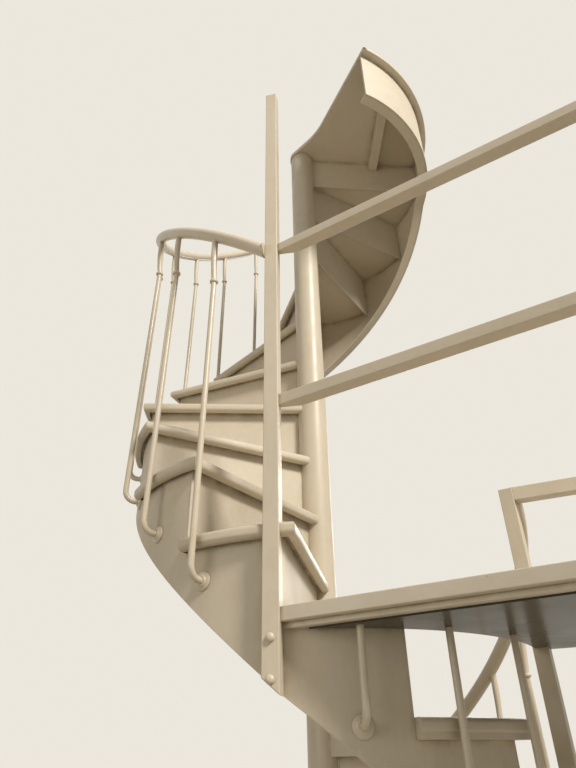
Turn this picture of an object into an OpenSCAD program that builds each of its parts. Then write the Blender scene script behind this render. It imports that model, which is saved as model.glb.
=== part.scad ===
// Spiral staircase in painted steel with a landing platform part of the way up.
// It climbs clockwise seen from above. Millimetres, +Z up, the newel's axis is the Z axis and the floor is z = 0.
// Azimuths are degrees clockwise seen from above, from the front (-Y), so they grow with the climb.

/* [Steps] */
// Rise of each step below the platform
lower_rise = 205; // [180:1:220]
// Rise from the platform to the first tread above it
join_rise = 183; // [170:1:220]
// Rise of each step above the platform
upper_rise = 212; // [180:1:220]
// Rise from the last tread to the upper landing
last_rise = 163; // [150:1:220]
// Treads below the platform level
lower_count = 8; // [4:1:8]
// Treads between the platform and the upper landing
upper_count = 10; // [6:1:10]
// Turn of each step
step_turn = 25.46; // [24:0.01:27]
// Azimuth of the riser under the first tread above the platform
join_azimuth = 10.44; // [5:0.01:15]
// Thickness of the treads above the platform
tread_t = 19; // [16:1:25]
// Thickness of the built-up treads below the platform
lower_tread_t = 38; // [34:1:42]
// Thickness of the board that lies on each of them
lower_board_t = 27; // [20:1:30]
// Setback of the plate under that board
plate_setback = 4; // [2:1:8]
// Overhang of the nosing in front of the riser
nosing = 34; // [20:1:40]
// Overhang of the treads' ends outside the string
end_overhang = 30; // [20:1:34]
// Thickness of the riser plates
riser_t = 5; // [4:1:8]
// Reach of each riser below the tread in front of it
riser_lip = 22; // [10:1:30]

/* [Newel and string] */
// Outer diameter of the newel tube
newel_d = 102; // [90:1:120]
// Wall of the newel tube
newel_wall = 5; // [4:0.5:8]
// Radius of the string's outer face
string_r = 576; // [540:1:620]
// Thickness of the string plate
string_t = 8; // [6:1:12]
// Depth of the string below the line of the nosings
string_drop = 350; // [300:1:380]
// Width of the string's lower edge with the flange on its inner side
flange_w = 44; // [30:1:60]
// Thickness of the flange
flange_t = 8; // [5:1:10]

/* [Handrail and balusters] */
// Clearance between the treads' ends and the balusters under the handrail
rail_gap = 3; // [2:0.5:10]
// Diameter of the round handrail
rail_d = 40; // [32:1:45]
// Height of the upper handrail's centre above the line of the nosings
upper_rail_h = 808; // [780:1:900]
// Height of the lower handrail's centre above the line of the nosings
lower_rail_h = 775; // [740:1:800]
// Diameter of the baluster rod
baluster_d = 16; // [14:1:20]
// Turn between balusters
baluster_turn = 17.9; // [15:0.1:20]
// Depth of the baluster's foot below the line of the nosings
foot_drop = 271; // [240:1:300]
// The same depth for the short balusters under the platform
short_drop = 295; // [250:1:310]
// Radius of the bend at the baluster's foot
foot_bend = 30; // [24:1:36]
// Drop of the collar ring below the handrail's centre
collar_drop = 189; // [150:1:260]
// Diameter of the collar ring
collar_d = 26; // [22:1:32]
// Height of the collar ring
collar_h = 10; // [6:1:14]
// Diameter of the rosette on the string
rose_d = 44; // [36:1:50]
// Thickness of the plates that close the handrails at their posts
end_plate_t = 4; // [3:1:6]

/* [Platform and guard] */
// Direction of the platform's front edge from +X, turned towards the front
front_turn = 31.7; // [25:0.1:40]
// Direction of the platform's back edge from +X, turned towards the front
back_turn = 24; // [15:0.5:32]
// Distance of the guard's front plane behind the string's outer face
guard_in = 13; // [8:1:20]
// Width of the square posts
post_w = 38; // [36:1:50]
// Azimuth of the front post
front_post_azimuth = 12.35; // [12:0.05:13]
// Distance of the back post's middle inside the treads' ends, along the guard
back_post_in = 6; // [0:1:12]
// Distance of the back post behind the newel's axis, square to the guard
back_post_v = 53; // [45:1:60]
// Length along the front plane from the newel's foot point to the platform's end
platform_end = 1200; // [1150:5:1600]
// Distance of the platform's concave edge outside the string
platform_gap = 11; // [6:1:16]
// Thickness of the platform's boards
board_t = 30; // [25:1:35]
// Thickness of the platform's soffit plate
soffit_t = 15; // [10:1:20]
// Depth of the guard rails from front to back
guard_d = 38; // [30:1:40]
// Height of the guard rails' section
guard_h = 32; // [28:1:40]
// Top of the upper guard rail above the platform
top_guard = 1058; // [1000:1:1100]
// Top of the middle guard rail above the platform
mid_guard = 520; // [450:1:600]
// Top of the low back rail above the platform
back_guard = 377; // [350:1:420]
// Height of the front post above the platform
front_post_h = 1832; // [1700:1:2000]

/* [Landing] */
// Turn of the upper landing plate
landing_turn = 70; // [60:1:90]
// Reach of the landing's rounded corner beyond the newel
corner_reach = 4; // [2:1:12]
// Angle between the two straight parts of the landing's free edge
landing_splay = 20; // [12:1:30]
// Radius of the hollow between them
landing_hollow = 340; // [100:10:400]
// Distance of the joist under the landing from the newel's axis
joist_off = 352; // [200:1:420]
// Turn of the joist away from the newel towards the string
joist_turn = 2.4; // [0:0.1:6]
// Width of the joist under the landing
joist_w = 38; // [30:1:60]
// Depth of the joist under the landing
joist_h = 47; // [40:1:80]

/* [Hidden] */

paint = [0.80, 0.76, 0.66];
newel_r = newel_d / 2;
nosing_r = string_r + end_overhang;
inner_r = string_r - string_t;
rail_r = nosing_r + rail_gap + baluster_d / 2;
platform_r = string_r + platform_gap;
front_off = string_r - guard_in;
back_post_u = nosing_r - back_post_in;
seat = 0.3;
far = 2000;
platform_z = lower_rise * (lower_count + 1);
first_step = -lower_count - 1;
landing_step = upper_count;
landing_z = platform_z + join_rise + upper_rise * (upper_count - 1) + last_rise;
arc_step = 3;
rail_sides = 16;
foot_plate_r = 110;
foot_plate_t = 10;
foot_bolt_r = 85;
foot_bolt_hole = 7;
corner_r = newel_r + corner_reach;

// Step numbers: 0 is the first tread above the platform, -1 is level with the platform
function azimuth_of(i) = join_azimuth + i * step_turn;
function even_level(i) = i < 0
    ? platform_z + (i + 1) * lower_rise
    : platform_z + join_rise + min(i, landing_step) * upper_rise;
function level_of(i) = i < landing_step ? even_level(i) : landing_z;
function thickness_of(i) = i < -1 ? lower_tread_t : tread_t;
// Height of the line through the tops of the risers, carried on at an even slope to the last riser
function line_at(a) =
    let (s = (a - join_azimuth) / step_turn, i = floor(s))
    even_level(i) + (s - i) * (even_level(i + 1) - even_level(i));
function polar(r, a) = [-r * sin(a), -r * cos(a)];
function back_edge_of(i) = azimuth_of(i) + asin(riser_t / string_r);

// Turns a child made at the front round to an azimuth
module at_azimuth(a) {
    rotate([0, 0, -a]) children();
}

// Outline of a wedge between the nosing in front of one riser and the face of the next
module sector(turn, reach, front) {
    intersection() {
        circle(r = reach, $fn = 180);
        polygon([[front, far], [front, -far], polar(far, turn), [0, 0], [-far, far]]);
        translate([-far, -far]) square([2 * far, far]);
    }
}

module wedge(turn, reach, front) {
    difference() {
        sector(turn, reach, front);
        circle(r = newel_r - seat, $fn = 96);
    }
}

// Below the platform a board lies on a plate that is set back under it
module tread(i) {
    low = level_of(i) - thickness_of(i);
    board = i < 0 ? lower_board_t : thickness_of(i);
    // Where a post passes a nosing, the tread is notched round it
    difference() {
        at_azimuth(azimuth_of(i)) {
            translate([0, 0, level_of(i) - board])
                linear_extrude(board)
                    wedge(step_turn, nosing_r, nosing);
            if (i < 0)
                translate([0, 0, low])
                    linear_extrude(thickness_of(i) - board)
                        wedge(step_turn, nosing_r - plate_setback, nosing - plate_setback);
        }
        if (i < 0)
            back_post_at(low - 1, thickness_of(i) + 2);
        if (i == 0)
            front_post_at(low - 1, thickness_of(i) + 2);
    }
}

// The tread level with the platform stops at the platform's concave edge
module platform_wedge() {
    difference() {
        at_azimuth(azimuth_of(-1))
            translate([0, 0, platform_z - tread_t])
                linear_extrude(tread_t)
                    wedge(step_turn, platform_r, nosing);
        front_post_at(platform_z - tread_t - 1, tread_t + 2);
    }
}

// A riser closes the back of the tread below, reaches under it and carries the front of its own tread
module riser(i) {
    low = i == first_step ? 0 : level_of(i - 1) - thickness_of(i - 1);
    high = level_of(i) - thickness_of(i);
    lip = i == first_step ? 0 : riser_lip;
    at_azimuth(azimuth_of(i))
        difference() {
            union() {
                translate([-riser_t, -string_r, low])
                    cube([riser_t, string_r, high - low]);
                translate([-riser_t, 2 * seat - inner_r, low - lip])
                    cube([riser_t, inner_r - 2 * seat, high - low]);
            }
            translate([0, 0, low - lip - 1])
                cylinder(r = newel_r - seat, h = high - low + lip + 2, $fn = 96);
        }
}

module newel_tube() {
    color(paint)
        difference() {
            translate([0, 0, foot_plate_t])
                cylinder(d = newel_d, h = landing_z - tread_t - foot_plate_t, $fn = 96);
            translate([0, 0, foot_plate_t - 1])
                cylinder(d = newel_d - 2 * newel_wall, h = landing_z, $fn = 96);
        }
}

module newel_foot() {
    color(paint)
        difference() {
            cylinder(r = foot_plate_r, h = foot_plate_t, $fn = 96);
            for (k = [0:3])
                rotate([0, 0, 45 + 90 * k])
                    translate([foot_bolt_r, 0, -1])
                        cylinder(r = foot_bolt_hole, h = foot_plate_t + 2, $fn = 32);
        }
}

module lower_risers() {
    color(paint)
        for (i = [first_step:-1])
            riser(i);
}

module upper_risers() {
    color(paint)
        for (i = [0:landing_step])
            riser(i);
}

// Saw-tooth string: one column of four points at each azimuth, a new tooth at the back of each riser
function tooth_azimuths(a0, a1) =
    let (n = max(1, ceil((a1 - a0) / arc_step)))
    [for (j = [0:n]) j == n ? a1 : a0 + (a1 - a0) * j / n];
function string_low(a) = max(0, line_at(a) - string_drop);
function column(a, top, low) = [
    for (r = [inner_r, string_r], z = [low, top])
        [-r * sin(a), -r * cos(a), z]
];

module string_band(teeth) {
    cols = [for (t = teeth) for (a = tooth_azimuths(t[0], t[1])) [a, t[2]]];
    last = len(cols) - 1;
    points = [for (c = cols) each column(c[0], c[1], string_low(c[0]))];
    steps = [for (j = [0:last - 1]) if (cols[j + 1][0] > cols[j][0]) j];
    rises = [for (j = [0:last - 1]) if (cols[j + 1][0] == cols[j][0]) j];
    function rises_before(j) = j > 0 && cols[j][0] == cols[j - 1][0];
    // The two columns at a tooth's upright front share their low points
    function low_at(j) = rises_before(j) ? 4 * (j - 1) : 4 * j;
    faces = concat(
        [[0, 1, 3, 2]],
        [[4 * last, 4 * last + 2, 4 * last + 3, 4 * last + 1]],
        [for (j = steps) each [
            // underside
            [low_at(j), low_at(j) + 2, 4 * j + 6],
            [low_at(j), 4 * j + 6, 4 * j + 4],
            // top
            [4 * j + 1, 4 * j + 5, 4 * j + 7],
            [4 * j + 1, 4 * j + 7, 4 * j + 3],
            // inner face, with the lower tooth's corner on its edge where a tooth starts
            rises_before(j)
                ? [4 * j - 3, low_at(j), 4 * j + 4, 4 * j + 5, 4 * j + 1]
                : [4 * j, 4 * j + 4, 4 * j + 5, 4 * j + 1],
            // outer face
            rises_before(j)
                ? [4 * j - 1, 4 * j + 3, 4 * j + 7, 4 * j + 6, low_at(j) + 2]
                : [4 * j + 2, 4 * j + 3, 4 * j + 7, 4 * j + 6]
        ]],
        // upright front of each tooth
        [for (j = rises) [4 * j + 1, 4 * j + 5, 4 * j + 7, 4 * j + 3]]
    );
    polyhedron(points = points, faces = faces, convexity = 10);
}

lower_teeth = [
    for (i = [first_step:-1])
        [back_edge_of(i), back_edge_of(i + 1), level_of(i) - thickness_of(i)]
];
upper_teeth = [
    for (i = [0:landing_step])
        [
            back_edge_of(i),
            i == landing_step ? azimuth_of(i) + landing_turn : back_edge_of(i + 1),
            level_of(i) - tread_t
        ]
];

module lower_string() {
    color(paint) string_band(lower_teeth);
}

module upper_string() {
    color(paint) string_band(upper_teeth);
}

// Flat bar along the string's lower edge, against its inner face
module flange_band(teeth) {
    cuts = [for (t = teeth) each tooth_azimuths(t[0], t[1])];
    turns = [for (j = [0:len(cuts) - 1]) if (j == 0 || cuts[j] > cuts[j - 1]) cuts[j]];
    last = len(turns) - 1;
    points = [
        for (a = turns, r = [string_r - flange_w, inner_r], z = [0, flange_t])
            [-r * sin(a), -r * cos(a), string_low(a) + z]
    ];
    faces = concat(
        [[0, 1, 3, 2]],
        [[4 * last, 4 * last + 2, 4 * last + 3, 4 * last + 1]],
        [for (j = [0:last - 1]) each [
            // underside
            [4 * j, 4 * j + 2, 4 * j + 6],
            [4 * j, 4 * j + 6, 4 * j + 4],
            // top
            [4 * j + 1, 4 * j + 5, 4 * j + 7],
            [4 * j + 1, 4 * j + 7, 4 * j + 3],
            // inner and outer edges
            [4 * j, 4 * j + 4, 4 * j + 5, 4 * j + 1],
            [4 * j + 2, 4 * j + 3, 4 * j + 7, 4 * j + 6]
        ]]
    );
    polyhedron(points = points, faces = faces, convexity = 10);
}

module string_flange() {
    color(paint) flange_band(concat(lower_teeth, upper_teeth));
}

// Round bar swept along a helix that keeps a height above the nosing line
function rail_point(a, h) = [-rail_r * sin(a), -rail_r * cos(a), line_at(a) + h];
function unit(v) = v / norm(v);
function ring_at(p, t, r) =
    let (
        side = unit([t[1], -t[0], 0]),
        up = cross(side, t) * (cross(side, t)[2] < 0 ? -1 : 1)
    )
    [for (k = [0:rail_sides - 1])
        p + r * (cos(360 * k / rail_sides) * side + sin(360 * k / rail_sides) * up)];

module helical_rail(a0, a1, h) {
    n = ceil((a1 - a0) / arc_step);
    path = [for (j = [0:n]) rail_point(a0 + (a1 - a0) * j / n, h)];
    rings = [
        for (j = [0:n])
            ring_at(path[j], unit(path[min(n, j + 1)] - path[max(0, j - 1)]), rail_d / 2)
    ];
    points = [for (ring = rings) each ring];
    s = rail_sides;
    faces = concat(
        [[for (k = [0:s - 1]) k]],
        [[for (k = [s - 1:-1:0]) n * s + k]],
        [for (j = [0:n - 1], k = [0:s - 1])
            [j * s + k, (j + 1) * s + k, (j + 1) * s + (k + 1) % s, j * s + (k + 1) % s]]
    );
    polyhedron(points = points, faces = faces, convexity = 10);
}

foot_post_azimuth = azimuth_of(first_step) + 1.5;
upper_rail_end = front_post_azimuth + 8 * baluster_turn + 3;
end_plate_margin = 7;
end_plate_w = rail_d + 2 * end_plate_margin;

// Height of a rail's centre where it meets a post's face
function rail_end_z(a, side, h) = line_at(a + side * asin((post_w / 2 + end_plate_t) / rail_r)) + h;

// Everything in front of the axis on one side of a post's end plate
module beyond_post(a, side) {
    from = post_w / 2 + end_plate_t;
    at_azimuth(a)
        translate([side > 0 ? -from : from - far, -far, 0])
            cube([far, far, 3 * far]);
}

// Each rail is cut square where it meets the end plate on its post
module lower_handrail() {
    color(paint)
        difference() {
            helical_rail(foot_post_azimuth, back_post_azimuth, lower_rail_h);
            beyond_post(foot_post_azimuth, 1);
            beyond_post(back_post_azimuth, -1);
        }
}

module upper_handrail() {
    color(paint)
        difference() {
            helical_rail(front_post_azimuth, upper_rail_end, upper_rail_h);
            beyond_post(front_post_azimuth, 1);
        }
}

// Small square plate between a post's side and the end of a rail
module end_plate(a, h) {
    at_azimuth(a)
        translate([
            -post_w / 2 - end_plate_t,
            -rail_r - end_plate_w / 2,
            rail_end_z(a, 1, h) - end_plate_w / 2
        ])
            cube([end_plate_t, end_plate_w, end_plate_w]);
}

module rail_end_plates() {
    color(paint) {
        end_plate(front_post_azimuth, upper_rail_h);
        end_plate(foot_post_azimuth, lower_rail_h);
    }
}

// A rod with a collar, bent in at its foot to the string's face and coped under its rail
module railed_baluster(a, h) {
    rail_z = line_at(a) + h;
    slope = atan((line_at(a + 1) - line_at(a - 1)) / (2 * rail_r * sin(1)));
    difference() {
        baluster(a, rail_z, rail_z - collar_drop);
        at_azimuth(a)
            translate([0, -rail_r, rail_z])
                rotate([0, slope - 90, 0])
                    cylinder(r = rail_d / 2 + seat, h = rail_d * 3, center = true, $fn = 64);
    }
}

module baluster(a, top, collar_z, drop = foot_drop) {
    foot_z = line_at(a) - drop;
    at_azimuth(a) {
        translate([0, -rail_r, foot_z + foot_bend])
            cylinder(d = baluster_d, h = top - foot_z - foot_bend, $fn = 32);
        translate([0, -rail_r + foot_bend, foot_z + foot_bend])
            rotate([0, 0, 180])
                rotate([90, 0, 90])
                    rotate([0, 0, -90])
                        rotate_extrude(angle = 90, $fn = 48)
                            translate([foot_bend, 0]) circle(d = baluster_d, $fn = 32);
        translate([0, -string_r, foot_z])
            rotate([90, 0, 0])
                cylinder(d = baluster_d, h = rail_r - foot_bend - string_r, $fn = 32);
        if (collar_z > 0)
            translate([0, -rail_r, collar_z - collar_h / 2])
                cylinder(d = collar_d, h = collar_h, $fn = 32);
    }
}

rose_base_t = 5;
rose_hub_t = 10;
rose_step = 7;
module rosette(a, drop) {
    at_azimuth(a)
        translate([0, -string_r, line_at(a) - drop])
            rotate([90, 0, 0])
                difference() {
                    union() {
                        cylinder(d = rose_d, h = rose_base_t, $fn = 48);
                        cylinder(d = rose_d - 2 * rose_step, h = rose_hub_t, $fn = 48);
                    }
                    translate([0, 0, -1])
                        cylinder(d = baluster_d + 2 * seat, h = rose_hub_t + 2, $fn = 32);
                }
}

upper_azimuths = [for (k = [1:8]) front_post_azimuth + k * baluster_turn];
// Short balusters that end under the platform, then the full ones on the lower flight
short_azimuths = [for (k = [0:2]) -4.6 - k * baluster_turn];
lower_azimuths = [for (k = [0:7]) -78.4 - k * baluster_turn];

module upper_balusters() {
    color(paint)
        for (a = upper_azimuths)
            railed_baluster(a, upper_rail_h);
}

module lower_balusters() {
    color(paint) {
        for (a = lower_azimuths)
            railed_baluster(a, lower_rail_h);
        for (a = short_azimuths)
            baluster(a, platform_z - board_t - soffit_t, 0, short_drop);
    }
}

module rosettes() {
    color(paint) {
        for (a = concat(lower_azimuths, upper_azimuths))
            rosette(a, foot_drop);
        for (a = short_azimuths)
            rosette(a, short_drop);
    }
}

// Frame of the platform: +X along the guard, the guard's front plane at y = -front_off
module on_guard() {
    rotate([0, 0, -front_turn]) children();
}
back_post_azimuth = front_turn - atan2(back_post_u, -back_post_v);
back_flare = front_turn - back_turn;

module front_post_at(low, height) {
    at_azimuth(front_post_azimuth)
        translate([-post_w / 2, -string_r - post_w, low])
            cube([post_w, post_w, height]);
}

// Square post bolted to the string's face, cut off along the string's lower edge
module front_post() {
    low = line_at(front_post_azimuth) - string_drop;
    slope = upper_rise / (string_r * step_turn * PI / 180);
    color(paint)
        at_azimuth(front_post_azimuth)
            translate([0, -string_r, 0])
                rotate([90, 0, 0])
                    linear_extrude(post_w)
                        polygon([
                            [-post_w / 2, low + slope * post_w / 2],
                            [post_w / 2, low - slope * post_w / 2],
                            [post_w / 2, platform_z + front_post_h],
                            [-post_w / 2, platform_z + front_post_h]
                        ]);
}

module back_post_at(low, height) {
    on_guard()
        translate([back_post_u - post_w / 2, back_post_v - post_w / 2, low])
            cube([post_w, post_w, height]);
}

module back_post() {
    color(paint) back_post_at(0, platform_z + back_guard);
}

module foot_post() {
    a = foot_post_azimuth;
    color(paint)
        at_azimuth(a)
            translate([-post_w / 2, -nosing_r - post_w, 0])
                cube([post_w, post_w, rail_end_z(a, 1, lower_rail_h) + end_plate_w / 2]);
}

module end_post() {
    color(paint)
        on_guard()
            translate([platform_end - post_w, -front_off, platform_z])
                cube([post_w, guard_d, top_guard]);
}

// Platform outline in the guard's frame: concave round the stair, widening to its far end
module platform_outline(front) {
    back = back_post_v + post_w / 2;
    difference() {
        polygon([
            [0, -front],
            [platform_end, -front],
            [platform_end, back + (platform_end - back_post_u) * tan(back_flare)],
            [back_post_u, back],
            [0, back]
        ]);
        circle(r = platform_r, $fn = 180);
        translate([back_post_u, back_post_v]) square(post_w, center = true);
        translate([0, back_post_v]) square([2 * (back_post_u - post_w / 2), post_w], center = true);
    }
}

module platform_boards() {
    color(paint)
        translate([0, 0, platform_z - board_t])
            linear_extrude(board_t)
                on_guard() platform_outline(front_off - guard_d);
}

module platform_soffit() {
    color([0.32, 0.32, 0.34])
        translate([0, 0, platform_z - board_t - soffit_t])
            linear_extrude(soffit_t)
                on_guard() platform_outline(front_off - guard_d);
}

// A guard rail runs from the front post's face to the end post
module guard_rail(top, height, end) {
    color(paint)
        difference() {
            on_guard()
                translate([0, -front_off, top - height])
                    cube([end, guard_d, height]);
            at_azimuth(front_post_azimuth)
                translate([-post_w / 2, -far, top - height - 1])
                    cube([post_w, far, height + 2]);
            at_azimuth(front_post_azimuth)
                translate([-far, -far, top - height - 1])
                    cube([far, far, height + 2]);
            translate([0, 0, top - height - 1])
                cylinder(r = platform_r, h = height + 2, $fn = 180);
        }
}

module platform_edge() {
    guard_rail(platform_z, board_t, platform_end);
}

module mid_guard_rail() {
    guard_rail(platform_z + mid_guard, guard_h, platform_end - post_w);
}

module top_guard_rail() {
    guard_rail(platform_z + top_guard, guard_h, platform_end - post_w);
}

// A low rail along the platform's back edge starts at the back post
module back_guard_rail() {
    length = (platform_end - back_post_u) / cos(back_flare);
    color(paint)
        difference() {
            on_guard()
                translate([back_post_u, back_post_v, platform_z + back_guard - post_w])
                    rotate([0, 0, back_flare])
                        translate([0, -post_w / 2, 0])
                            cube([length, post_w, post_w]);
            back_post_at(0, far * 2);
        }
}

// The landing closes the newel's top with a rounded corner, and its free edge is hollowed beside it
module landing_outline() {
    meet_r = corner_r / sin(landing_splay);
    side = landing_hollow * tan(landing_splay / 2);
    tip = polar(meet_r, landing_turn);
    sector(landing_turn, nosing_r, nosing);
    circle(r = corner_r, $fn = 96);
    difference() {
        polygon([
            [0, 0],
            polar(corner_r, landing_turn + 90 - landing_splay),
            tip - polar(side, landing_turn - landing_splay),
            tip + polar(side, landing_turn)
        ]);
        translate(polar(meet_r + side, landing_turn) + polar(landing_hollow, landing_turn + 90))
            circle(r = landing_hollow, $fn = 180);
    }
}

module landing_plate() {
    color(paint)
        at_azimuth(azimuth_of(landing_step))
            translate([0, 0, landing_z - tread_t])
                linear_extrude(tread_t)
                    landing_outline();
}

// The joist runs under the landing from the top riser's back to the string's inner face
module landing_joist() {
    low = landing_z - tread_t - joist_h;
    color(paint)
        intersection() {
            translate([joist_off, 0, low])
                rotate([0, 0, joist_turn])
                    translate([-joist_w / 2, -far, 0])
                        cube([joist_w, 2 * far, joist_h]);
            at_azimuth(azimuth_of(landing_step))
                translate([-riser_t - far, -far, low])
                    cube([far, 2 * far, joist_h]);
            translate([0, 0, low])
                cylinder(r = inner_r - seat, h = joist_h, $fn = 180);
        }
}

newel_tube();
newel_foot();
for (i = [1:lower_count])
    color(paint) tread(first_step + i - 1);
color(paint) platform_wedge();  // platform_tread
for (i = [1:upper_count])
    color(paint) tread(i - 1);
lower_risers();
upper_risers();
lower_string();
upper_string();
string_flange();
lower_handrail();
upper_handrail();
rail_end_plates();
lower_balusters();
upper_balusters();
rosettes();
front_post();
back_post();
foot_post();
end_post();
platform_boards();
platform_soffit();
platform_edge();
mid_guard_rail();
top_guard_rail();
back_guard_rail();
landing_plate();
landing_joist();
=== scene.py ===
import math
import bmesh
import bpy
from mathutils import Matrix, Vector, noise


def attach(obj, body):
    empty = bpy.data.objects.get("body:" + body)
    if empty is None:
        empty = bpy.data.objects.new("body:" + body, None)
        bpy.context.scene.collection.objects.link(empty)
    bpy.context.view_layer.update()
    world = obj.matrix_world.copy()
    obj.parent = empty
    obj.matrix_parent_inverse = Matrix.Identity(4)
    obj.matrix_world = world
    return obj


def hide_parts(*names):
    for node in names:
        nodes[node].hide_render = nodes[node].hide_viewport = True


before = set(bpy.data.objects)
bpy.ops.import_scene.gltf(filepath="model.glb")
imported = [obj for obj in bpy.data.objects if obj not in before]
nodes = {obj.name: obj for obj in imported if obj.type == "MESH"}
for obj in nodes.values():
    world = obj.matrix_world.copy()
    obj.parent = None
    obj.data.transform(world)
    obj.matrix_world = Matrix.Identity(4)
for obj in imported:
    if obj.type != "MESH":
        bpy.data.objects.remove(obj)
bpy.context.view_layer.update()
scene = bpy.context.scene

# Sizes, in metres and degrees
LOWER_RISE, JOIN_RISE, UPPER_RISE, LAST_RISE = 0.205, 0.183, 0.212, 0.163
STEP_TURN, JOIN_AZIMUTH = 25.46, 10.44
LOWER_COUNT, UPPER_COUNT = 8, 10
TREAD_T, LOWER_TREAD_T, BOARD_T, NOSING, RISER_T = 0.019, 0.038, 0.027, 0.034, 0.005
NEWEL_R, STRING_R, STRING_T = 0.051, 0.576, 0.008
NOSING_R, RAIL_R, PLATFORM_R = 0.606, 0.617, 0.587
PLATFORM_Z = LOWER_RISE * (LOWER_COUNT + 1)
LANDING_Z = PLATFORM_Z + JOIN_RISE + UPPER_RISE * (UPPER_COUNT - 1) + LAST_RISE
POST_W, FRONT_AZIMUTH, FRONT_TURN = 0.038, 12.35, 31.7
BALUSTER_TURN, FOOT_DROP, SHORT_DROP = 17.9, 0.271, 0.295
RAIL_D, UPPER_RAIL_H, LOWER_RAIL_H, END_PLATE_T = 0.0395, 0.808, 0.775, 0.004
BACK_POST_U, BACK_POST_V, PLATFORM_END = 0.600, 0.053, 1.200
BOARD_DEEP, SOFFIT_T = 0.030, 0.015


def azimuth_of(i):
    return JOIN_AZIMUTH + i * STEP_TURN


def even_level(i):
    if i < 0:
        return PLATFORM_Z + (i + 1) * LOWER_RISE
    return PLATFORM_Z + JOIN_RISE + min(i, UPPER_COUNT) * UPPER_RISE


def level_of(i):
    return even_level(i) if i < UPPER_COUNT else LANDING_Z


def line_at(a):
    s = (a - JOIN_AZIMUTH) / STEP_TURN
    i = math.floor(s)
    return even_level(i) + (s - i) * (even_level(i + 1) - even_level(i))


def polar(r, a, z=0.0):
    return Vector((-r * math.sin(math.radians(a)), -r * math.cos(math.radians(a)), z))


def turned(a, x, y, z=0.0):
    """Point given in the frame of an azimuth: -y outward, +x against the climb."""
    c, s = math.cos(math.radians(a)), math.sin(math.radians(a))
    return Vector((x * c + y * s, -x * s + y * c, z))


def on_guard(u, v, z=0.0):
    """Point given in the guard's frame: +x along the guard, -y in front of it."""
    return turned(FRONT_TURN, u, v, z)


# Materials
def node_tree(name):
    m = bpy.data.materials.new(name)
    m.use_nodes = True
    t = m.node_tree
    t.nodes.clear()
    out = t.nodes.new("ShaderNodeOutputMaterial")
    shader = t.nodes.new("ShaderNodeBsdfPrincipled")
    t.links.new(shader.outputs["BSDF"], out.inputs["Surface"])
    return m, t, shader


def add(t, kind, **values):
    n = t.nodes.new(kind)
    for k, v in values.items():
        if k in n.inputs.keys():
            n.inputs[k].default_value = v
        else:
            setattr(n, k, v)
    return n


def ramp(t, source, low, high, a=0.0, b=1.0):
    n = add(t, "ShaderNodeMapRange", interpolation_type="SMOOTHSTEP")
    n.inputs["From Min"].default_value, n.inputs["From Max"].default_value = low, high
    n.inputs["To Min"].default_value, n.inputs["To Max"].default_value = a, b
    t.links.new(source, n.inputs["Value"])
    return n.outputs["Result"]


def mixed(t, factor, a, b):
    n = add(t, "ShaderNodeMix", data_type="RGBA")
    t.links.new(factor, n.inputs["Factor"])
    for socket, v in ((n.inputs[6], a), (n.inputs[7], b)):
        if isinstance(v, tuple):
            socket.default_value = (*v, 1.0)
        else:
            t.links.new(v, socket)
    return n.outputs[2]


def times(t, a, b):
    n = add(t, "ShaderNodeMath", operation="MULTIPLY")
    t.links.new(a, n.inputs[0])
    if isinstance(b, float):
        n.inputs[1].default_value = b
    else:
        t.links.new(b, n.inputs[1])
    return n.outputs[0]


def plus(t, a, b):
    n = add(t, "ShaderNodeMath", operation="ADD")
    t.links.new(a, n.inputs[0])
    t.links.new(b, n.inputs[1])
    return n.outputs[0]


def noise_at(t, where, scale, detail=4.0, rough=0.55, stretch=None):
    if stretch:
        m = add(t, "ShaderNodeMapping")
        m.inputs["Scale"].default_value = stretch
        t.links.new(where, m.inputs["Vector"])
        where = m.outputs["Vector"]
    n = add(t, "ShaderNodeTexNoise", Scale=scale, Detail=detail, Roughness=rough)
    t.links.new(where, n.inputs["Vector"])
    return n.outputs["Fac"]


def edge_mask(t, radius, low, high):
    """How far the surface bends within a radius: 1 along outer edges and in corners."""
    bevel = add(t, "ShaderNodeBevel", samples=4)
    bevel.inputs["Radius"].default_value = radius
    geo = add(t, "ShaderNodeNewGeometry")
    dot = add(t, "ShaderNodeVectorMath", operation="DOT_PRODUCT")
    t.links.new(bevel.outputs["Normal"], dot.inputs[0])
    t.links.new(geo.outputs["Normal"], dot.inputs[1])
    return ramp(t, dot.outputs["Value"], low, high, 1.0, 0.0)


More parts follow.
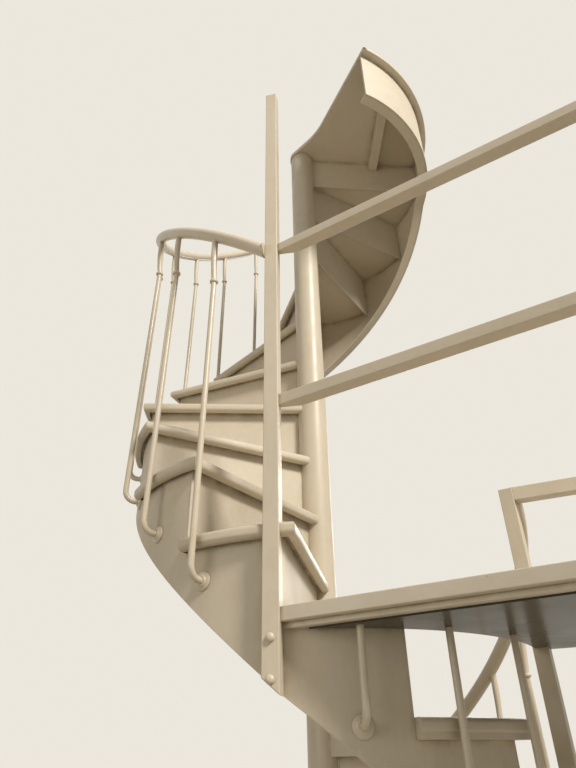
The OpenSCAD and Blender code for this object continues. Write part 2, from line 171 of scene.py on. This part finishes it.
def paint(name, base, brush, gloss=0.34, wear=0.5, dirt_and_shade=0.55):
    """Hand-brushed oil paint on steel: mottled, streaked, rubbed on its edges, and darker in its corners
    with dirt and painted shade.
    """
    m, t, shader = node_tree(name)
    at = add(t, "ShaderNodeTexCoord").outputs["Object"]
    dark = tuple(c * k for c, k in zip(base, (0.80, 0.77, 0.70)))
    pale = tuple(min(1.0, c * k) for c, k in zip(base, (1.05, 1.05, 1.08)))
    broad = ramp(t, noise_at(t, at, 2.3, 5.0), 0.30, 0.72)
    patch = ramp(t, noise_at(t, at, 11.0, 6.0, 0.62), 0.46, 0.74)
    streak = noise_at(t, at, 42.0, 3.0, 0.6, brush)
    colour = mixed(t, broad, base, pale)
    colour = mixed(t, times(t, patch, 0.30), colour, dark)
    colour = mixed(t, ramp(t, streak, 0.35, 0.75, 0.0, 0.16), colour, dark)
    # dirt and painted shade: darker where the AO node finds corners, in patches
    ao = add(t, "ShaderNodeAmbientOcclusion", samples=6)
    ao.inputs["Distance"].default_value = 0.035
    corner = ramp(t, ao.outputs["AO"], 0.25, 0.95, 1.0, 0.0)
    grime_and_shade = times(t, times(t, corner, ramp(t, noise_at(t, at, 19.0, 5.0, 0.65), 0.25, 0.70)), dirt_and_shade)
    colour = mixed(t, grime_and_shade, colour, (base[0] * 0.33, base[1] * 0.29, base[2] * 0.22))
    # rubbed edges and small chips down to a grey undercoat
    rub = times(t, edge_mask(t, 0.0025, 0.72, 0.96), ramp(t, noise_at(t, at, 27.0, 6.0, 0.7), 0.52, 0.66))
    colour = mixed(t, times(t, rub, wear), colour, tuple(c * 0.55 for c in base))
    spots = add(t, "ShaderNodeTexVoronoi", Scale=38.0)
    t.links.new(at, spots.inputs["Vector"])
    chip = times(
        t,
        ramp(t, spots.outputs["Distance"], 0.035, 0.075, 1.0, 0.0),
        ramp(t, noise_at(t, at, 5.0, 2.0), 0.58, 0.66),
    )
    colour = mixed(t, times(t, chip, 0.55), colour, (0.24, 0.20, 0.15))
    t.links.new(colour, shader.inputs["Base Color"])
    uneven = ramp(t, noise_at(t, at, 8.0, 4.0), 0.3, 0.7, gloss - 0.06, gloss + 0.10)
    rough = plus(t, uneven, times(t, grime_and_shade, 0.35))
    t.links.new(plus(t, rough, times(t, rub, 0.2)), shader.inputs["Roughness"])
    # brush marks, orange peel and runs
    height = plus(t, times(t, streak, 0.5), times(t, noise_at(t, at, 240.0, 2.0), 0.16))
    height = plus(t, height, times(t, noise_at(t, at, 16.0, 3.0), 0.9))
    bump = add(t, "ShaderNodeBump", Strength=0.22, Distance=0.0016)
    t.links.new(plus(t, height, times(t, chip, -0.8)), bump.inputs["Height"])
    bevel = add(t, "ShaderNodeBevel", samples=4)
    bevel.inputs["Radius"].default_value = 0.0012
    t.links.new(bevel.outputs["Normal"], bump.inputs["Normal"])
    t.links.new(bump.outputs["Normal"], shader.inputs["Normal"])
    shader.inputs["IOR"].default_value = 1.48
    shader.inputs["Coat Weight"].default_value = 0.05
    shader.inputs["Coat Roughness"].default_value = 0.25
    return m


CREAM = (0.66, 0.585, 0.455)
upright = paint("paint_upright", CREAM, (5.0, 5.0, 0.35), gloss=0.40)
level = paint("paint_level", CREAM, (1.0, 1.0, 6.0), gloss=0.36)
rounded = paint("paint_round", tuple(c * 1.03 for c in CREAM), (3.0, 3.0, 0.8), gloss=0.29, wear=0.35)
# the plate and tread paints darken their corners more, with dirt and painted shade
plate = paint("paint_plate", tuple(c * 0.98 for c in CREAM), (2.2, 2.2, 0.9), gloss=0.52, dirt_and_shade=0.7)
treadway = paint(
    "paint_tread", tuple(c * 0.97 for c in CREAM), (2.0, 2.0, 6.0), gloss=0.40, wear=0.6, dirt_and_shade=0.8
)


def lacquer(name):
    """Lacquered soffit: a gloss gone soft, with ripples, a haze of dust and fine scuffs; its near-black
    colour is painted shade under the platform.
    """
    m, t, shader = node_tree(name)
    at = add(t, "ShaderNodeTexCoord").outputs["Object"]
    cloud = ramp(t, noise_at(t, at, 3.1, 5.0, 0.6), 0.35, 0.70)
    scuff = ramp(t, noise_at(t, at, 60.0, 4.0, 0.7, (1.0, 7.0, 1.0)), 0.62, 0.78)
    # near-black base colour: painted shade under the platform
    colour = mixed(t, cloud, (0.050, 0.043, 0.028), (0.078, 0.068, 0.046))
    colour = mixed(t, times(t, scuff, 0.30), colour, (0.13, 0.118, 0.088))
    t.links.new(colour, shader.inputs["Base Color"])
    t.links.new(
        plus(t, ramp(t, noise_at(t, at, 7.0, 4.0), 0.3, 0.7, 0.20, 0.30), times(t, scuff, 0.12)),
        shader.inputs["Roughness"],
    )
    bump = add(t, "ShaderNodeBump", Strength=0.10, Distance=0.002)
    ripple = plus(t, noise_at(t, at, 9.0, 2.0), times(t, noise_at(t, at, 120.0, 2.0), 0.05))
    t.links.new(ripple, bump.inputs["Height"])
    t.links.new(bump.outputs["Normal"], shader.inputs["Normal"])
    shader.inputs["IOR"].default_value = 1.25
    shader.inputs["Coat Weight"].default_value = 0.03
    shader.inputs["Coat Roughness"].default_value = 0.08
    return m


soffit = lacquer("soffit_lacquer_painted_shade")


def caulk(name):
    """Painted-over weld bead: the paint's colour, lumpy, dirtier than the plates."""
    m, t, shader = node_tree(name)
    at = add(t, "ShaderNodeTexCoord").outputs["Object"]
    lump = noise_at(t, at, 130.0, 3.0)
    dull, clear = (tuple(c * k for c in CREAM) for k in (0.62, 0.92))
    colour = mixed(t, ramp(t, lump, 0.35, 0.7), dull, clear)
    t.links.new(colour, shader.inputs["Base Color"])
    t.links.new(ramp(t, lump, 0.3, 0.7, 0.36, 0.50), shader.inputs["Roughness"])
    bump = add(t, "ShaderNodeBump", Strength=0.5, Distance=0.001)
    t.links.new(lump, bump.inputs["Height"])
    t.links.new(bump.outputs["Normal"], shader.inputs["Normal"])
    return m


bead_paint = caulk("paint_bead")


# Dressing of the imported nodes
def own_mesh(name, bm, material, smooth=True):
    mesh = bpy.data.meshes.new(name)
    bm.to_mesh(mesh)
    bm.free()
    o = bpy.data.objects.new(name, mesh)
    scene.collection.objects.link(o)
    mesh.materials.append(material)
    for p in mesh.polygons:
        p.use_smooth = smooth
    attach(o, "root")
    return o


def clean_copy(node):
    """The node's mesh with its shared corners joined and its flat faces whole."""
    bm = bmesh.new()
    bm.from_mesh(nodes[node].data)
    bmesh.ops.remove_doubles(bm, verts=bm.verts, dist=1e-6)
    bmesh.ops.dissolve_limit(bm, angle_limit=math.radians(0.5), verts=bm.verts, edges=bm.edges)
    return bm


def soften(node, material, width=0.0015, segments=2, nosing=0.0, turn=None, rim_r=NOSING_R,
           sharp=30):
    """A copy of the node with rounded outer edges stands for it. Nosings get their own, larger round."""
    bm = clean_copy(node)
    outer = [
        e for e in bm.edges
        if len(e.link_faces) == 2 and e.calc_face_angle_signed() > math.radians(sharp)
    ]
    if nosing:
        def on_nosing(e):
            if abs(e.verts[0].co.z - e.verts[1].co.z) > 1e-5:
                return False
            mid = (e.verts[0].co + e.verts[1].co) / 2
            if min(v.co.xy.length for v in e.verts) > rim_r - 0.0015:
                return True
            local = turned(-turn, mid.x, mid.y)
            return abs(local.x - NOSING) < 1e-4

        rim = [e for e in outer if on_nosing(e)]
        bmesh.ops.bevel(
            bm, geom=rim, offset=nosing, segments=6, profile=0.5, affect="EDGES", clamp_overlap=False
        )
        outer = []
    if outer:
        bmesh.ops.bevel(
            bm, geom=outer, offset=width, segments=segments, profile=0.5, affect="EDGES", clamp_overlap=True
        )
    o = own_mesh(node + "_dressed", bm, material)
    if nosing:
        o.data.set_sharp_from_angle(angle=math.radians(50))
    o.modifiers.new("angle", "WEIGHTED_NORMAL").keep_sharp = True
    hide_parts(node)


def round_edge(top, bottom, r_top, r_bottom, count=6):
    """(inset, depth) points of an edge that is rounded above and below."""
    quarter = [math.pi / 2 * k / count for k in range(count + 1)]
    upper = [(r_top * (1 - math.sin(q)), top + r_top * (1 - math.cos(q))) for q in quarter]
    lower = [(r_bottom * (1 - math.cos(q)), bottom - r_bottom * (1 - math.sin(q))) for q in quarter]
    return upper + lower


# Above the platform the edge is rolled and hangs 13 mm under the sheet; below it a board lies on a plate
ROLL_T, ROLL_W, PLATE_SETBACK = 0.032, 0.019, 0.004
ROLL_R, BOARD_TOP_R, BOARD_LOW_R, CHAMFER = 0.012, 0.011, 0.008, 0.001
UPPER_EDGE = round_edge(0.0, ROLL_T, ROLL_R, ROLL_R) + [
    (ROLL_W, ROLL_T),
    (ROLL_W + CHAMFER, ROLL_T - CHAMFER),
    (ROLL_W + CHAMFER, TREAD_T),
]
LOWER_EDGE = [
    e for e in round_edge(0.0, BOARD_T, BOARD_TOP_R, BOARD_LOW_R)
    if e[1] < BOARD_T / 2 or e[0] < PLATE_SETBACK
] + [
    (PLATE_SETBACK, BOARD_T),
    (PLATE_SETBACK, LOWER_TREAD_T - CHAMFER),
    (PLATE_SETBACK + CHAMFER, LOWER_TREAD_T),
]


def tread_outline(inset):
    """Wedge in its own frame; only the nosing and the rim draw in by the inset."""
    x, r = NOSING - inset, NOSING_R - inset
    newel = NEWEL_R - 0.001
    corner = math.degrees(math.asin(x / r))
    inner = math.degrees(math.asin(x / newel))
    line = [Vector((x, -math.sqrt(newel ** 2 - x * x) * (1 - t) - math.sqrt(r * r - x * x) * t))
            for t in (k / 12 for k in range(13))]
    rim = [polar(r, -corner + (STEP_TURN + corner) * k / 24).xy for k in range(1, 25)]
    back = [polar(newel, STEP_TURN - (STEP_TURN + inner) * k / 8).xy for k in range(8)]
    return line + rim + back


def tread(node, i, edge):
    """Skin stacked from a step's outlines along its edge's section; it stands for the node.

    It has no notch for a post: where one passes, the skin runs on out of sight inside the post.
    """
    bm = bmesh.new()
    rings = []
    for inset, depth in edge:
        z = level_of(i) - depth
        rings.append([bm.verts.new(turned(azimuth_of(i), q.x, q.y, z)) for q in tread_outline(inset)])
    for r0, r1 in zip(rings, rings[1:]):
        for k in range(len(r0)):
            n = (k + 1) % len(r0)
            bm.faces.new((r0[k], r0[n], r1[n], r1[k]))
    bm.faces.new(rings[0][::-1])
    bm.faces.new(rings[-1])
    bmesh.ops.recalc_face_normals(bm, faces=bm.faces)
    o = own_mesh(node + "_dressed", bm, treadway)
    o.data.set_sharp_from_angle(angle=math.radians(40))
    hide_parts(node)


for i in range(1, LOWER_COUNT + 1):
    tread(f"lower_tread_{i}", i - 2 - LOWER_COUNT, LOWER_EDGE)
for i in range(1, UPPER_COUNT + 1):
    tread(f"upper_tread_{i}", i - 1, UPPER_EDGE)
soften("platform_tread", treadway, nosing=0.008, turn=azimuth_of(-1), rim_r=PLATFORM_R)
soften("landing_plate", treadway, nosing=0.008, turn=azimuth_of(UPPER_COUNT))
for n in ("front_post", "back_post", "foot_post", "end_post"):
    soften(n, upright, 0.0022, 3)
for n in ("platform_edge", "mid_guard_rail", "top_guard_rail", "back_guard_rail"):
    soften(n, level, 0.0022, 3)
# the soffit's near-black colour is painted shade under the platform
soften("platform_soffit", soffit, 0.001, 2)
soften("platform_boards", plate, 0.001, 2)
soften("landing_joist", level, 0.0015, 2)
for n in ("lower_risers", "upper_risers", "lower_string", "upper_string"):
    soften(n, plate, 0.0008, 2)
soften("string_flange", level, 0.0012, 2, sharp=40)

for n, m in {"newel_tube": upright, "newel_foot": plate}.items():
    data = nodes[n].data
    data.materials.clear()
    data.materials.append(m)


# Handrails, rosettes, bolts and weld beads
def rail_point(a, h):
    return polar(RAIL_R, a, line_at(a) + h)


def tube(bm, path, radii, sides=32, across=None):
    """Sweeps a ring along points with a radius each. A path in one upright plane names the way across it."""
    rings = []
    for j, p in enumerate(path):
        along = (path[min(j + 1, len(path) - 1)] - path[max(j - 1, 0)]).normalized()
        side = across or along.cross(Vector((0, 0, 1))).normalized()
        up = side.cross(along)
        rings.append([
            bm.verts.new(p + radii[j] * (math.cos(q) * side + math.sin(q) * up))
            for q in (math.tau * k / sides for k in range(sides))
        ])
    for r0, r1 in zip(rings, rings[1:]):
        for k in range(sides):
            bm.faces.new((r0[k], r0[(k + 1) % sides], r1[(k + 1) % sides], r1[k]))
    bm.faces.new(rings[0][::-1])
    bm.faces.new(rings[-1])
    return rings


def handrail(node, a0, a1, h, square_ends):
    """The rail's own helix, finer. Ends at posts are cut square, a free end is rounded off."""
    n = math.ceil(a1 - a0)
    turns = [a0 + (a1 - a0) * j / n for j in range(n + 1)]
    path, radii = [rail_point(a, h) for a in turns], [RAIL_D / 2] * (n + 1)
    if not square_ends[1]:
        along = (path[-1] - path[-2]).normalized()
        for back, r in ((0.006, 1.0), (0.0030, 0.93), (0.0010, 0.78), (0.0, 0.55)):
            path.append(rail_point(a1, h) - along * back if back else rail_point(a1, h))
            radii.append(RAIL_D / 2 * r)
        path[-5] = path[-5] - along * 0.012
    bm = bmesh.new()
    rings = tube(bm, path, radii)
    for which, ring, step in ((0, rings[0], path[1] - path[0]), (1, rings[-1], path[-1] - path[-2])):
        if square_ends[which]:
            a, reach = square_ends[which]
            for v in ring:
                x, dx = turned(-a, v.co.x, v.co.y).x, turned(-a, step.x, step.y).x
                v.co += step * ((reach - x) / dx)
    bmesh.ops.recalc_face_normals(bm, faces=bm.faces)
    o = own_mesh(node + "_dressed", bm, rounded)
    o.data.set_sharp_from_angle(angle=math.radians(50))
    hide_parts(node)


def face_turn(a, side):
    """Azimuth at which a rail's axis reaches the plate on one side of a post."""
    return a + side * math.degrees(math.asin((POST_W / 2 + END_PLATE_T) / RAIL_R))


BACK_AZIMUTH = FRONT_TURN - math.degrees(math.atan2(BACK_POST_U, -BACK_POST_V))
FOOT_AZIMUTH = azimuth_of(-LOWER_COUNT - 1) + 1.5
RAIL_FACE = POST_W / 2 + END_PLATE_T
handrail("upper_handrail", face_turn(FRONT_AZIMUTH, 1), FRONT_AZIMUTH + 8 * BALUSTER_TURN + 3, UPPER_RAIL_H,
         ((FRONT_AZIMUTH, -RAIL_FACE), None))
handrail("lower_handrail", face_turn(FOOT_AZIMUTH, 1), face_turn(BACK_AZIMUTH, -1), LOWER_RAIL_H,
         ((FOOT_AZIMUTH, -RAIL_FACE), (BACK_AZIMUTH, RAIL_FACE)))

UPPER_TURNS = [FRONT_AZIMUTH + k * BALUSTER_TURN for k in range(1, 9)]
SHORT_TURNS = [-4.6 - k * BALUSTER_TURN for k in range(3)]
LOWER_TURNS = [-78.4 - k * BALUSTER_TURN for k in range(8)]


def lathe(bm, profile, place, sides=36):
    """Revolves (radius, height) points round +z of a matrix, closed at both ends."""
    rings = [
        [bm.verts.new(place @ Vector((r * math.cos(q), r * math.sin(q), h)))
         for q in (math.tau * k / sides for k in range(sides))]
        for r, h in profile
    ]
    for r0, r1 in zip(rings, rings[1:]):
        for k in range(sides):
            bm.faces.new((r0[k], r0[(k + 1) % sides], r1[(k + 1) % sides], r1[k]))
    bm.faces.new(rings[0][::-1])
    bm.faces.new(rings[-1])


def facing(origin, outward):
    """Matrix that stands at a point with +z along a direction."""
    return Matrix.Translation(origin) @ outward.to_track_quat("Z", "Y").to_matrix().to_4x4()


def outward(a):
    return polar(1.0, a)


def rosettes():
    profile = ((0.0215, -0.0006), (0.0220, 0.0), (0.0220, 0.0022), (0.0213, 0.0034), (0.0192, 0.0045),
               (0.0163, 0.0053), (0.0142, 0.0064), (0.0131, 0.0080), (0.0122, 0.0093), (0.0108, 0.0099),
               (0.0083, 0.0100))
    bm = bmesh.new()
    for turns, drop in ((UPPER_TURNS + LOWER_TURNS, FOOT_DROP), (SHORT_TURNS, SHORT_DROP)):
        for a in turns:
            lathe(bm, profile, facing(polar(STRING_R, a, line_at(a) - drop), outward(a)))
    o = own_mesh("rosettes_dressed", bm, rounded)
    o.data.set_sharp_from_angle(angle=math.radians(60))
    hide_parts("rosettes")


rosettes()


ROD_R, FOOT_BEND, COLLAR_DROP, COLLAR_R, COLLAR_H = 0.008, 0.030, 0.189, 0.013, 0.010
# The rods stand 5 mm out at the foot, lean in to the collar and bow out to the rail above it
FOOT_OUT, COLLAR_IN, SLEEVE_R, TOP_BOW = 0.005, -0.007, 0.0098, 0.0035


def rod(bm, a, foot_z, top_z, collar_z):
    """One baluster, bent in to the string at its foot; without a collar it runs straight up."""
    foot_r = RAIL_R + FOOT_OUT
    path = [(STRING_R - 0.001, foot_z, ROD_R), (foot_r - FOOT_BEND, foot_z, ROD_R)]
    for k in range(1, 9):
        q = math.pi / 2 * k / 8
        path.append((foot_r - FOOT_BEND * (1 - math.sin(q)), foot_z + FOOT_BEND * (1 - math.cos(q)), ROD_R))
    low = foot_z + FOOT_BEND
    if collar_z:
        for k in range(1, 13):
            t = k / 12
            path.append((foot_r + (COLLAR_IN - FOOT_OUT) * t, low + (collar_z - low) * t, ROD_R))
        for k in range(1, 9):
            t = k / 8
            bow = TOP_BOW * math.sin(math.pi * t)
            r = ROD_R + (SLEEVE_R - ROD_R) * min(1.0, 1.6 * t)
            path.append((RAIL_R + COLLAR_IN * (1 - t) + bow, collar_z + (top_z - collar_z) * t, r))
        ring = ((0.0085, -0.5), (0.0118, -0.42), (COLLAR_R, -0.15), (COLLAR_R, 0.15), (0.0118, 0.42),
                (0.0085, 0.5))
        place = Matrix.Translation(polar(RAIL_R + COLLAR_IN, a, collar_z))
        lathe(bm, [(r, h * COLLAR_H) for r, h in ring], place, 28)
    else:
        path.append((foot_r, (low + top_z) / 2, ROD_R))
        path.append((foot_r, top_z, ROD_R))
    side = turned(a, 1, 0)
    tube(bm, [polar(r, a, z) for r, z, _ in path], [q for _, _, q in path], 20, across=side)


def balusters(node, railed, h, short=()):
    bm = bmesh.new()
    for a in railed:
        rail_z = line_at(a) + h
        rod(bm, a, line_at(a) - FOOT_DROP, rail_z - RAIL_D / 4, rail_z - COLLAR_DROP)
    for a in short:
        rod(bm, a, line_at(a) - SHORT_DROP, PLATFORM_Z - BOARD_DEEP - SOFFIT_T, None)
    bmesh.ops.recalc_face_normals(bm, faces=bm.faces)
    o = own_mesh(node + "_dressed", bm, rounded)
    o.data.set_sharp_from_angle(angle=math.radians(50))
    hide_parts(node)


balusters("upper_balusters", UPPER_TURNS, UPPER_RAIL_H)
balusters("lower_balusters", LOWER_TURNS, LOWER_RAIL_H, SHORT_TURNS)


def end_plates():
    """Round plates that close the handrails at the faces of their posts."""
    disc = ((0.0240, 0.0), (0.0240, END_PLATE_T - 0.001), (0.0230, END_PLATE_T), (0.016, END_PLATE_T))
    bm = bmesh.new()
    for a, h in ((FRONT_AZIMUTH, UPPER_RAIL_H), (FOOT_AZIMUTH, LOWER_RAIL_H)):
        z = line_at(face_turn(a, 1)) + h
        lathe(bm, disc, facing(turned(a, -POST_W / 2, -RAIL_R, z), turned(a, -1, 0)))
    bmesh.ops.recalc_face_normals(bm, faces=bm.faces)
    o = own_mesh("rail_end_plates_dressed", bm, upright)
    o.data.set_sharp_from_angle(angle=math.radians(50))
    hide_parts("rail_end_plates")


end_plates()


BOLT_HEIGHTS = (1.783, 1.706)


def bolts():
    """Dome heads: two hold the front post to the string."""
    head = ((0.0095, -0.0004), (0.0095, 0.0016), (0.0091, 0.0036), (0.0080, 0.0056), (0.0062, 0.0071),
            (0.0038, 0.0080), (0.0012, 0.0083))
    bm = bmesh.new()
    for z in BOLT_HEIGHTS:
        place = turned(FRONT_AZIMUTH, 0.0, -STRING_R - POST_W, z)
        lathe(bm, head, facing(place, outward(FRONT_AZIMUTH)), 28)
    o = own_mesh("post_bolts", bm, rounded)
    o.data.set_sharp_from_angle(angle=math.radians(55))


bolts()


def bead(bm, start, end, side_a, side_b, size, seed):
    """Lumpy painted fillet along an inner corner between two faces that the sides point along."""
    length = (end - start).length
    count = max(2, round(length / 0.009))
    rings = []
    for j in range(count + 1):
        p = start.lerp(end, j / count)
        s = size * (0.85 + 0.35 * noise.noise(p * 60.0 + Vector((seed, 0, 0))))
        rings.append([
            bm.verts.new(p + side_a * s - side_b * 0.0004),
            bm.verts.new(p + (side_a + side_b) * (0.36 * s)),
            bm.verts.new(p + side_b * s - side_a * 0.0004),
            bm.verts.new(p - (side_a + side_b) * 0.0004),
        ])
    for r0, r1 in zip(rings, rings[1:]):
        for k in range(4):
            bm.faces.new((r0[k], r0[(k + 1) % 4], r1[(k + 1) % 4], r1[k]))
    bm.faces.new(rings[0][::-1])
    bm.faces.new(rings[-1])


RISER_BEAD, FOOT_BEAD, NEWEL_BEAD = 0.0045, 0.0035, 0.0042


def step_beads(name, first, last):
    """Beads where the risers meet the treads and the newel, and round the newel under each tread."""
    bm = bmesh.new()
    down, upz = Vector((0, 0, -1)), Vector((0, 0, 1))
    for i in range(first, last + 1):
        a = azimuth_of(i)
        under = level_of(i) - (TREAD_T if i >= -1 else LOWER_TREAD_T)
        climb, back = turned(a, -1, 0), turned(a, 1, 0)
        out = turned(a, 0, -1)
        low = 0.0 if i == -LOWER_COUNT - 1 else level_of(i - 1)
        inner, outer = NEWEL_R + 0.001, STRING_R - STRING_T - 0.001
        # under the tread, along the riser's back
        ends = [turned(a, -RISER_T, -r, under) for r in (inner, outer)]
        bead(bm, *ends, climb, down, RISER_BEAD, i)
        # on the tread below, along the riser's face
        if low:
            bead(bm, turned(a, 0.0, -inner, low), turned(a, 0.0, -outer, low), back, upz, FOOT_BEAD, i + 0.3)
        # along the newel, behind and before the riser
        ends = [turned(a, -RISER_T, -inner + 0.001, z) for z in (low, under)]
        bead(bm, *ends, climb, out, RISER_BEAD, i + 0.5)
        # under the tread round the newel
        t0, t1 = a + 7.0, azimuth_of(i + 1) - 1.0
        n = 6
        for k in range(n):
            b0, b1 = t0 + (t1 - t0) * k / n, t0 + (t1 - t0) * (k + 1) / n
            ends = [polar(NEWEL_R, b, under) for b in (b0, b1)]
            bead(bm, *ends, outward((b0 + b1) / 2), down, NEWEL_BEAD, i + 0.7)
    bmesh.ops.recalc_face_normals(bm, faces=bm.faces)
    own_mesh(name, bm, bead_paint)


step_beads("lower_beads", -LOWER_COUNT - 1, -1)
step_beads("upper_beads", 0, UPPER_COUNT - 1)


def soffit_band():
    """Painted strip under the edge bar that carries the soffit's front edge, from the post to the end."""
    v0, v1 = -0.5440, -0.5252
    z0, z1 = PLATFORM_Z - BOARD_DEEP - 0.0115, PLATFORM_Z - BOARD_DEEP
    lean = math.radians(FRONT_TURN - FRONT_AZIMUTH)

    def start(v):
        at_post = (POST_W / 2 - v * math.sin(lean)) / math.cos(lean)
        clear = math.sqrt((STRING_R + 0.0005) ** 2 - v * v)
        return max(at_post, clear)

    bm = bmesh.new()
    count = 40
    rings = []
    for j in range(count + 1):
        ring = []
        for v, z in ((v0, z0), (v0, z1), (v1, z1), (v1, z0)):
            u = start(v) + (PLATFORM_END - start(v)) * j / count
            ring.append(bm.verts.new(on_guard(u, v, z)))
        rings.append(ring)
    for r0, r1 in zip(rings, rings[1:]):
        for k in range(4):
            bm.faces.new((r0[k], r0[(k + 1) % 4], r1[(k + 1) % 4], r1[k]))
    bm.faces.new(rings[0][::-1])
    bm.faces.new(rings[-1])
    bmesh.ops.recalc_face_normals(bm, faces=bm.faces)
    bmesh.ops.dissolve_limit(bm, angle_limit=math.radians(0.5), verts=bm.verts, edges=bm.edges)
    edges = [e for e in bm.edges if len(e.link_faces) == 2]
    bmesh.ops.bevel(
        bm, geom=edges, offset=0.0014, segments=2, profile=0.5, affect="EDGES", clamp_overlap=True
    )
    o = own_mesh("soffit_band", bm, level)
    o.modifiers.new("angle", "WEIGHTED_NORMAL").keep_sharp = True


soffit_band()


# Stage, light and camera
def area(name, place, target, size, power, colour):
    light = bpy.data.lights.new(name, "AREA")
    light.shape = "DISK"
    light.size, light.energy, light.color = size, power, colour
    o = bpy.data.objects.new(name, light)
    o.location = place
    o.rotation_euler = (Vector(target) - Vector(place)).to_track_quat("-Z", "Y").to_euler()
    scene.collection.objects.link(o)


def seen_directly(t):
    """1 for rays from the camera, also by way of a mirror or glass."""
    rays = add(t, "ShaderNodeLightPath")
    either = add(t, "ShaderNodeMath", operation="MAXIMUM")
    any_of = add(t, "ShaderNodeMath", operation="MAXIMUM")
    t.links.new(rays.outputs["Is Camera Ray"], either.inputs[0])
    t.links.new(rays.outputs["Is Transmission Ray"], either.inputs[1])
    t.links.new(either.outputs[0], any_of.inputs[0])
    t.links.new(rays.outputs["Is Glossy Ray"], any_of.inputs[1])
    return any_of.outputs[0]


def floor_material():
    """Pale to the eye and keeping shadows; its bounce is that of a duller floor."""
    m, t, shader = node_tree("floor_pale")
    at = add(t, "ShaderNodeTexCoord").outputs["Object"]
    tone = ramp(t, noise_at(t, at, 0.6, 3.0), 0.3, 0.7)
    pale = mixed(t, tone, (0.70, 0.67, 0.605), (0.74, 0.705, 0.635))
    seen = seen_directly(t)
    t.links.new(mixed(t, seen, (0.36, 0.33, 0.27), pale), shader.inputs["Base Color"])
    shader.inputs["Roughness"].default_value = 0.85
    t.links.new(pale, shader.inputs["Emission Color"])
    t.links.new(times(t, seen, 0.16), shader.inputs["Emission Strength"])
    return m


def floor():
    bm = bmesh.new()
    place = Matrix.Translation((0.2, 0.0, -0.001))
    bmesh.ops.create_circle(bm, cap_ends=True, segments=96, radius=14.0, matrix=place)
    mesh = bpy.data.meshes.new("floor")
    bm.to_mesh(mesh)
    bm.free()
    o = bpy.data.objects.new("floor", mesh)
    mesh.materials.append(floor_material())
    scene.collection.objects.link(o)


floor()

world = bpy.data.worlds.new("studio")
scene.world = world
world.use_nodes = True
w = world.node_tree
w.nodes.clear()
out = w.nodes.new("ShaderNodeOutputWorld")
shown = add(w, "ShaderNodeBackground", Color=(0.84, 0.80, 0.72, 1.0), Strength=1.0)
lit = add(w, "ShaderNodeBackground", Color=(1.0, 0.94, 0.83, 1.0), Strength=0.24)
pick = add(w, "ShaderNodeMixShader")
w.links.new(seen_directly(w), pick.inputs[0])
w.links.new(lit.outputs[0], pick.inputs[1])
w.links.new(shown.outputs[0], pick.inputs[2])
w.links.new(pick.outputs[0], out.inputs["Surface"])

area("key", (5.2, -6.0, 9.1), (0.0, 0.0, 2.9), 2.4, 1070.0, (1.0, 0.95, 0.88))
area("fill", (-3.2, -3.0, 2.6), (0.0, 0.0, 2.6), 2.4, 30.0, (1.0, 0.95, 0.86))
area("back", (2.2, 5.4, 4.2), (0.0, 0.0, 2.4), 2.6, 85.0, (1.0, 0.97, 0.92))

# The photograph's own camera: eye height, pitch up to the landing, a slight roll
EYE, PITCH, ROLL = (-0.0863, -1.8841, 1.5694), math.radians(32.572), math.radians(-1.0)
FOCAL_PX, LONG_SIDE_PX, SENSOR = 592.45, 768, 36.0
ahead = Vector((0.0, math.cos(PITCH), math.sin(PITCH)))
right, up = Vector((1.0, 0.0, 0.0)), Vector((0.0, -math.sin(PITCH), math.cos(PITCH)))
right2 = math.cos(ROLL) * right + math.sin(ROLL) * up
up2 = -math.sin(ROLL) * right + math.cos(ROLL) * up
cam_data = bpy.data.cameras.new("view")
cam_data.sensor_fit = "AUTO"
cam_data.sensor_width = SENSOR
cam_data.lens = FOCAL_PX / LONG_SIDE_PX * SENSOR
cam_data.clip_start, cam_data.clip_end = 0.05, 60.0
cam = bpy.data.objects.new("view", cam_data)
turn = Matrix((right2, up2, -ahead)).transposed().to_4x4()
cam.matrix_world = Matrix.Translation(EYE) @ turn
scene.collection.objects.link(cam)
scene.camera = cam
scene.view_settings.view_transform = "Standard"
